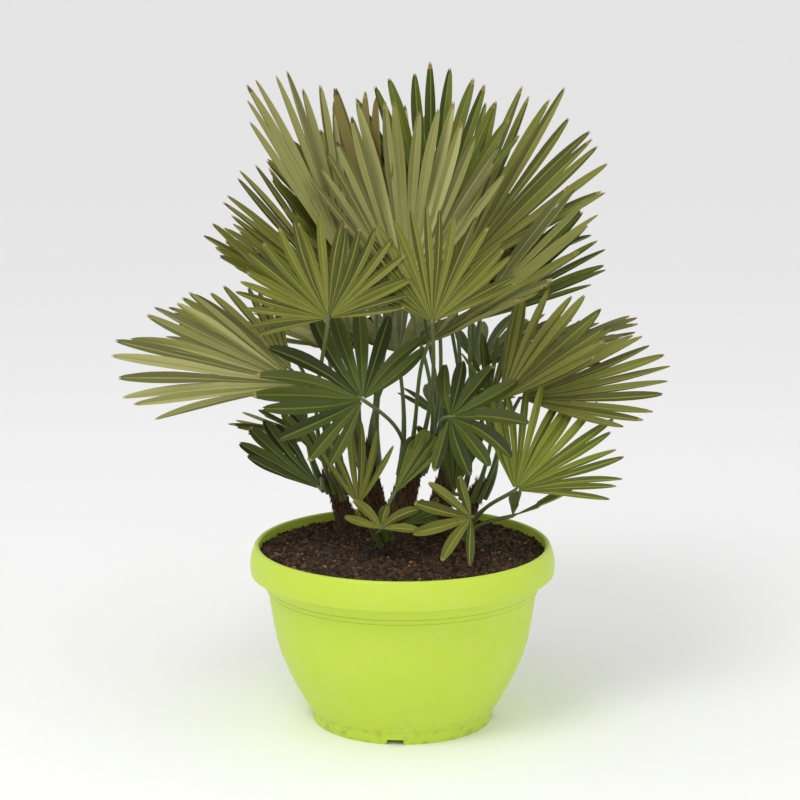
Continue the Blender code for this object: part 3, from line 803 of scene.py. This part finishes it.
strewSockets = {
    "Geometry": "Geometry",
    "Density": "Float",
    "Seed": "Int",
    "Smallest": "Vector",
    "Largest": "Vector",
    "Least Turn": "Vector",
    "Most Turn": "Vector",
}
strewNodes = (
    "NodeGroupInput", "GeometryNodeDistributePointsOnFaces", "GeometryNodeMeshIcoSphere",
    "FunctionNodeRandomValue", "FunctionNodeRandomValue", "GeometryNodeInstanceOnPoints",
    "GeometryNodeRealizeInstances", "GeometryNodeSetMaterial", "NodeGroupOutput",
)


def strewTree(name, look):
    # Geometry nodes that strew rough crumbs over a surface
    tree = bpy.data.node_groups.new(name, "GeometryNodeTree")
    for label, kind in strewSockets.items():
        tree.interface.new_socket(label, in_out="INPUT", socket_type="NodeSocket" + kind)
    tree.interface.new_socket("Geometry", in_out="OUTPUT", socket_type="NodeSocketGeometry")
    given, spread, crumb, size, turn, put, whole, finish, result = map(tree.nodes.new, strewNodes)
    crumb.inputs["Radius"].default_value = 1.0
    crumb.inputs["Subdivisions"].default_value = 1
    size.data_type = turn.data_type = "FLOAT_VECTOR"
    finish.inputs["Material"].default_value = look.material
    for source, target in (
        (given.outputs["Geometry"], spread.inputs["Mesh"]),
        (given.outputs["Density"], spread.inputs["Density"]),
        (given.outputs["Seed"], spread.inputs["Seed"]),
        (given.outputs["Smallest"], size.inputs[0]),
        (given.outputs["Largest"], size.inputs[1]),
        (given.outputs["Least Turn"], turn.inputs[0]),
        (given.outputs["Most Turn"], turn.inputs[1]),
        (given.outputs["Seed"], size.inputs["Seed"]),
        (given.outputs["Seed"], turn.inputs["Seed"]),
        (spread.outputs["Points"], put.inputs["Points"]),
        (crumb.outputs["Mesh"], put.inputs["Instance"]),
        (size.outputs[0], put.inputs["Scale"]),
        (turn.outputs[0], put.inputs["Rotation"]),
        (put.outputs["Instances"], whole.inputs["Geometry"]),
        (whole.outputs["Geometry"], finish.inputs["Geometry"]),
        (finish.outputs["Geometry"], result.inputs["Geometry"]),
    ):
        tree.links.new(source, target)
    return tree


def strew(name, ground, sizes, slot, *nodes):
    look = Look(name, sizes["colour"], soil["roughness"])
    tree = strewTree(name, look)
    bed = addObject(name, ground.data.copy())
    strewn = bed.modifiers.new("Strewn", "NODES")
    strewn.node_group = tree
    socket = {item.name: item.identifier for item in tree.interface.items_tree if item.in_out == "INPUT"}
    strewn[socket["Density"]] = sizes["count"] / sum(face.area for face in ground.data.polygons)
    strewn[socket["Seed"]] = sizes["seed"]
    strewn[socket["Smallest"]] = sizes["small"]
    strewn[socket["Largest"]] = sizes["large"]
    strewn[socket["Least Turn"]], strewn[socket["Most Turn"]] = sizes.get("turns", crumbTurns)
    piece = dress(name.replace(" ", "_"), plainMesh(bed), [look], smooth=soil["crumbSmooth"])
    keep(piece, slot, *nodes)
    print(name, len(piece.data.polygons), "faces")


# Pot

pot = {
    "lime": (0.540, 0.700, 0.050),
    "pale": (0.600, 0.720, 0.120),
    "lowBrown": (0.300, 0.250, 0.110),
    "sides": 144,
    "drains": {"count": 6, "ring": 0.055, "radius": 0.005, "height": 0.0095, "depth": 0.03, "sides": 32},
    "notches": {
        "count": 4, "turn": -94.5, "ring": 0.0885, "reach": 0.012,
        "low": -0.003, "lowHalf": 0.009, "high": 0.005, "highHalf": 0.0075,
    },
    "slot": {"size": (0.006, 0.012, 0.021), "place": (0.1292, 0.010, 0.109)},
    "roughness": 0.42,
    "worn": (35.0, 6.0, 0.52, 0.72),  # patches, as on the stems
    "wornShare": 0.35,
    "lowPatches": (120.0, 5.0, 0.50, 0.75),
    "lowPatchShare": 0.6,
    "lowPatchFade": (0.004, 0.030),  # the heights where the darker brown starts to fade and is gone
    "scuffs": 50.0,
    "scuffRoughness": (0.34, 0.2),  # the least, and how much more
    "smooth": 28,
}


def through(points, steps):
    # A smooth curve through a few points of an outline
    ends = [points[0], *points, points[-1]]
    curve = []
    for a, b, c, d in zip(ends, ends[1:], ends[2:], ends[3:]):
        for k in range(steps):
            t = k / steps
            curve.append(tuple(
                0.5 * (2 * q + (r - p) * t + (2 * p - 5 * q + 4 * r - s) * t ** 2
                       + (3 * q - p - 3 * r + s) * t ** 3)
                for p, q, r, s in zip(a, b, c, d)
            ))
    return [*curve, points[-1]]


def potOutline():
    # From the middle of the floor up the inside, over the lip and down outside
    side = [(0.0905, 0.0185), (0.1063, 0.0460), (0.1184, 0.0760), (0.1270, 0.1260), (0.1325, 0.1430)]
    inside = [(0.0, 0.0095), (0.0800, 0.0095), (0.0860, 0.0112), *through(side, 4), (0.1388, 0.1600)]
    top = [(0.1395, 0.1740), (0.1400, 0.1753), (0.1412, 0.1760), (0.1430, 0.1760), (0.1445, 0.1745)]
    lip = through(top, 3)
    collar = through([(0.1445, 0.1745), (0.1475, 0.1655), (0.1486, 0.1570), (0.1482, 0.1500)], 4)[1:]
    edge = [(0.1479, 0.1490), (0.1470, 0.1485)]
    cove = through([(0.1470, 0.1485), (0.1395, 0.1455), (0.1350, 0.1385)], 5)[1:]
    lines = []
    for radius, height in ((0.1343, 0.1370), (0.1329, 0.1322)):
        lines += [(radius, height), (radius - 0.0009, height - 0.0003), (radius - 0.0004, height - 0.0010)]
    belly = [(0.1305, 0.1265), (0.1275, 0.1050), (0.1214, 0.0750), (0.1093, 0.0450), (0.0935, 0.0160)]
    bowl = through(belly, 6)
    foot = [(0.0918, 0.0138), (0.0915, 0.0130), (0.0903, 0.0120), (0.0889, 0.0015), (0.0880, 0.0)]
    under = [(0.0825, 0.0), (0.0820, 0.0005), (0.0805, 0.006), (0.022, 0.006), (0.020, 0.0), (0.0, 0.0)]
    return inside + lip + collar + edge + cove + lines + bowl + foot + under


def cutAway(thing, name, shape, place, turn=0.0):
    mesh = bpy.data.meshes.new(name)
    shape.to_mesh(mesh)
    shape.free()
    tool = addObject(name, mesh)
    tool.matrix_world = Matrix.Rotation(turn, 4, "Z") @ Matrix.Translation(place)
    cut = thing.modifiers.new(name, "BOOLEAN")
    cut.operation = "DIFFERENCE"
    cut.object = tool
    return tool


def cutDrains(bowl):
    drains = pot["drains"]
    tools = []
    for i in range(drains["count"]):
        shape = bmesh.new()
        bmesh.ops.create_cone(
            shape, cap_ends=True, segments=drains["sides"], depth=drains["depth"],
            radius1=drains["radius"], radius2=drains["radius"],
        )
        place = (drains["ring"], 0, drains["height"])
        tools.append(cutAway(bowl, "drain", shape, place, 2 * math.pi * i / drains["count"]))
    return tools


def cutNotches(bowl):
    notches = pot["notches"]
    low, half = notches["low"], notches["lowHalf"]
    high, top = notches["high"], notches["highHalf"]
    tools = []
    for i in range(notches["count"]):
        shape = bmesh.new()
        for x in (-notches["reach"], notches["reach"]):
            for y, z in ((-half, low), (half, low), (top, high), (-top, high)):
                shape.verts.new((x, y, z))
        bmesh.ops.convex_hull(shape, input=shape.verts)
        turn = math.radians(notches["turn"] + 360 * i / notches["count"])
        tools.append(cutAway(bowl, "notch", shape, (notches["ring"], 0, 0), turn))
    return tools


def cutSlot(bowl):
    shape = bmesh.new()
    bmesh.ops.create_cube(shape, size=1.0, matrix=Matrix.Diagonal((*pot["slot"]["size"], 1.0)))
    return [cutAway(bowl, "slot", shape, pot["slot"]["place"])]


def potMesh():
    corners = [(radius, 0.0, height) for radius, height in potOutline()]
    mesh = bpy.data.meshes.new("turned")
    mesh.from_pydata(corners, [(i, i + 1) for i in range(len(corners) - 1)], [])
    bowl = addObject("turned", mesh)
    screw = bowl.modifiers.new("Turned", "SCREW")
    screw.steps = screw.render_steps = pot["sides"]
    screw.use_merge_vertices = True
    screw.merge_threshold = 0.00001
    tools = cutDrains(bowl) + cutNotches(bowl) + cutSlot(bowl)
    mesh = plainMesh(bowl)
    for tool in tools:
        bpy.data.objects.remove(tool)
    return mesh


def makePot():
    look = Look("lime plastic", pot["lime"], pot["roughness"])
    height = look.node("SeparateXYZ", None, {"Vector": look.place()}, out=2)
    worn = look.patches(*pot["worn"]) * pot["wornShare"]
    # Darker brown patches towards the bottom of the pot, fading out by the given height
    low = 1 - look.ramp(height, *pot["lowPatchFade"])
    lowPatches = low * look.patches(*pot["lowPatches"]) * pot["lowPatchShare"]
    colour = look.blend(worn, paint(pot["lime"]), paint(pot["pale"]))
    smoothest, more = pot["scuffRoughness"]
    look.give({
        "Base Color": look.blend(lowPatches, colour, paint(pot["lowBrown"])),
        "Roughness": look.noise(pot["scuffs"]) * more + smoothest,
    })
    piece = dress("bowl_pot", potMesh(), [look], smooth=pot["smooth"])
    keep(piece, "pot", "pot")
    print("pot", len(piece.data.polygons), "faces")


# The studio

studio = {
    "floor": (0.97, 0.97, 0.97),
    "floorRoughness": 0.9,
    "across": 120,
    "world": 0.80,
    "aim": (0, 0, 0.3),
    "lamps": {
        "key": {"at": (-0.8, -1.3, 2.2), "size": 1.0, "power": 20.0},
        "fill": {"at": (1.6, -1.2, 1.2), "size": 1.4, "power": 3.0},
    },
}


def makeLamp(name, at, size, power):
    light = bpy.data.lights.new(name, "AREA")
    light.size = size
    light.energy = power
    lamp = addObject(name, light)
    lamp.location = at
    lamp.rotation_euler = (Vector(studio["aim"]) - Vector(at)).to_track_quat("-Z", "Y").to_euler()


def makeStudio():
    mesh = bpy.data.meshes.new("floor")
    far = studio["across"]
    mesh.from_pydata([(-far, -far, 0), (far, -far, 0), (far, far, 0), (-far, far, 0)], [], [(0, 1, 2, 3)])
    floor = dress("floor", mesh, [Look("pale floor", studio["floor"], studio["floorRoughness"])])
    world = bpy.data.worlds.new("studio")
    world.use_nodes = True
    backdrop = world.node_tree.nodes["Background"]
    backdrop.inputs["Color"].default_value = (1, 1, 1, 1)
    backdrop.inputs["Strength"].default_value = studio["world"]
    bpy.context.scene.world = world
    for name, lamp in studio["lamps"].items():
        makeLamp(name, **lamp)
    bpy.context.scene.view_settings.view_transform = "Standard"
    print("studio", len(studio["lamps"]), "lamps")


camera = {"at": (-0.0024, -2.03, 0.71), "down": 10.95, "focalPixels": 2145, "pixels": 800, "sensor": 36.0}


def makeCamera():
    data = bpy.data.cameras.new("camera")
    data.sensor_width = camera["sensor"]
    data.lens = camera["sensor"] * camera["focalPixels"] / camera["pixels"]
    eye = addObject("camera", data)
    eye.location = camera["at"]
    eye.rotation_euler = (math.radians(90 - camera["down"]), 0, 0)
    bpy.context.scene.camera = eye
    print("camera")


def nodeName(number):
    return f"frond_{number:02d}"


seats = []
for number, frond in enumerate(frontFronds + ringFronds(), 1):
    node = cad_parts.get(nodeName(number))
    if node:
        seats.append(seated(number, frond, node))
print("fronds", len(seats), "leaflets", sum(len(seat.leaflets) for seat in seats))
makeFronds(seats)
makePetioles(seats)
bark = makeStems()
ground = makeSoil()
for name, sizes in crumbs.items():
    strew(name, ground, sizes, "soil", "soil")
for name, sizes in barkFibres.items():
    strew(name, bark, sizes, "stem", *stems)
makePot()
makeStudio()
makeCamera()
